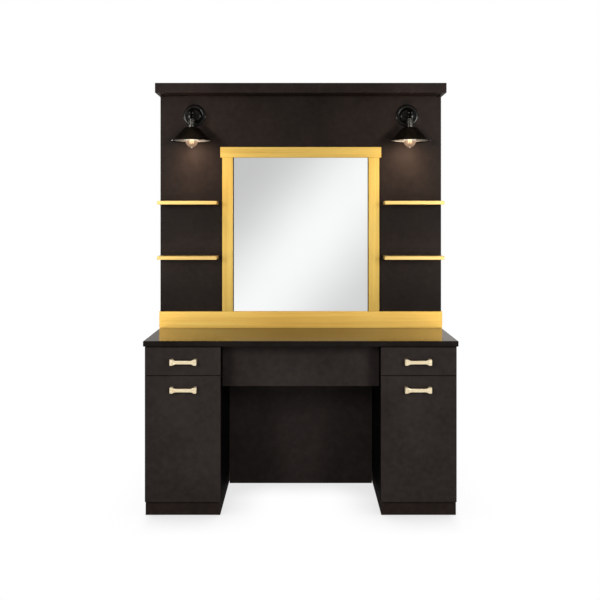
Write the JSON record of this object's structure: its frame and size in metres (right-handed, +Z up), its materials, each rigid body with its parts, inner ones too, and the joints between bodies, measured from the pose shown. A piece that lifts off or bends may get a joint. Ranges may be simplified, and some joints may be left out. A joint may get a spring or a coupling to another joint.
{
  "type": "double sided salon station",
  "caption": "Double sided salon station: dark laminate desk and shared partition with framed mirrors, gold shelves, swing-tilt wall lamps, drawers and pull-outs.",
  "frame": {"origin": "on the floor, at the middle of the footprint", "axes": "+Z up; X across the width, the front place looks along -Y and the back place along +Y"},
  "size_m": [1.536, 1.046, 2.161],
  "materials": {
    "espresso_laminate": "satin laminate on board",
    "gold_metal": "brushed gold",
    "mirror": "silvered glass",
    "champagne_metal": "satin champagne gold",
    "black_metal": "gloss black enamel outside, white inside",
    "gunmetal": "dark polished metal",
    "bulb_glass": "clear warm glass",
    "white_board": "white melamine",
    "runner_steel": "zinc plated"
  },
  "bodies": {
    "station": {"aprons": "espresso_laminate", "baseboard_ends": "gold_metal", "baseboards": "gold_metal", "cabinet_dividers": "espresso_laminate", "cabinet_floors": "espresso_laminate", "cabinet_rails": "espresso_laminate", "cabinet_runners": "runner_steel", "cornice_boards": "espresso_laminate", "cornice_fascias": "espresso_laminate", "countertop": "espresso_laminate", "lamp_arms": "black_metal", "lamp_canopies": "black_metal", "left_cabinet_sides": "espresso_laminate", "mirror_heads": "gold_metal", "mirror_panes": "mirror", "mirror_stiles": "gold_metal", "modesty_panel": "espresso_laminate", "partition_back": "espresso_laminate", "partition_frame": "espresso_laminate", "partition_front": "espresso_laminate", "plinths": "espresso_laminate", "right_cabinet_sides": "espresso_laminate", "shelves_back": "gold_metal", "shelves_front": "gold_metal"},
    "back_left_drawer": {"back_left_drawer_box": "white_board", "back_left_drawer_face": "espresso_laminate", "back_left_drawer_handle": "champagne_metal"},
    "back_left_lamp_head": {"back_left_lamp_bulb": "bulb_glass", "back_left_lamp_shade": "black_metal", "back_left_lamp_socket": "gunmetal"},
    "back_left_pullout": {"back_left_pullout_box": "white_board", "back_left_pullout_face": "espresso_laminate", "back_left_pullout_handle": "champagne_metal"},
    "back_right_drawer": {"back_right_drawer_box": "white_board", "back_right_drawer_face": "espresso_laminate", "back_right_drawer_handle": "champagne_metal"},
    "back_right_lamp_head": {"back_right_lamp_bulb": "bulb_glass", "back_right_lamp_shade": "black_metal", "back_right_lamp_socket": "gunmetal"},
    "back_right_pullout": {"back_right_pullout_box": "white_board", "back_right_pullout_face": "espresso_laminate", "back_right_pullout_handle": "champagne_metal"},
    "front_left_drawer": {"front_left_drawer_box": "white_board", "front_left_drawer_face": "espresso_laminate", "front_left_drawer_handle": "champagne_metal"},
    "front_left_lamp_head": {"front_left_lamp_bulb": "bulb_glass", "front_left_lamp_shade": "black_metal", "front_left_lamp_socket": "gunmetal"},
    "front_left_pullout": {"front_left_pullout_box": "white_board", "front_left_pullout_face": "espresso_laminate", "front_left_pullout_handle": "champagne_metal"},
    "front_right_drawer": {"front_right_drawer_box": "white_board", "front_right_drawer_face": "espresso_laminate", "front_right_drawer_handle": "champagne_metal"},
    "front_right_lamp_head": {"front_right_lamp_bulb": "bulb_glass", "front_right_lamp_shade": "black_metal", "front_right_lamp_socket": "gunmetal"},
    "front_right_pullout": {"front_right_pullout_box": "white_board", "front_right_pullout_face": "espresso_laminate", "front_right_pullout_handle": "champagne_metal"}
  },
  "joints": [
    {"name": "front_left_drawer_slide", "type": "slide", "parent": "station", "child": "front_left_drawer", "axis": [0, -1, 0], "range_m": [0, 0.3]},
    {"name": "front_left_pullout_slide", "type": "slide", "parent": "station", "child": "front_left_pullout", "axis": [0, -1, 0], "range_m": [0, 0.3]},
    {"name": "front_left_lamp_tilt", "type": "hinge", "parent": "station", "child": "front_left_lamp_head", "pos_m": [-0.578, -0.1415, 2.006], "axis": [-1, 0, 0], "range_deg": [0, 45]},
    {"name": "front_right_drawer_slide", "type": "slide", "parent": "station", "child": "front_right_drawer", "axis": [0, -1, 0], "range_m": [0, 0.3]},
    {"name": "front_right_pullout_slide", "type": "slide", "parent": "station", "child": "front_right_pullout", "axis": [0, -1, 0], "range_m": [0, 0.3]},
    {"name": "front_right_lamp_tilt", "type": "hinge", "parent": "station", "child": "front_right_lamp_head", "pos_m": [0.578, -0.1415, 2.006], "axis": [-1, 0, 0], "range_deg": [0, 45]},
    {"name": "back_left_drawer_slide", "type": "slide", "parent": "station", "child": "back_left_drawer", "axis": [0, 1, 0], "range_m": [0, 0.3]},
    {"name": "back_left_pullout_slide", "type": "slide", "parent": "station", "child": "back_left_pullout", "axis": [0, 1, 0], "range_m": [0, 0.3]},
    {"name": "back_left_lamp_tilt", "type": "hinge", "parent": "station", "child": "back_left_lamp_head", "pos_m": [-0.578, 0.1415, 2.006], "axis": [1, 0, 0], "range_deg": [0, 45]},
    {"name": "back_right_drawer_slide", "type": "slide", "parent": "station", "child": "back_right_drawer", "axis": [0, 1, 0], "range_m": [0, 0.3]},
    {"name": "back_right_pullout_slide", "type": "slide", "parent": "station", "child": "back_right_pullout", "axis": [0, 1, 0], "range_m": [0, 0.3]},
    {"name": "back_right_lamp_tilt", "type": "hinge", "parent": "station", "child": "back_right_lamp_head", "pos_m": [0.578, 0.1415, 2.006], "axis": [1, 0, 0], "range_deg": [0, 45]}
  ]
}
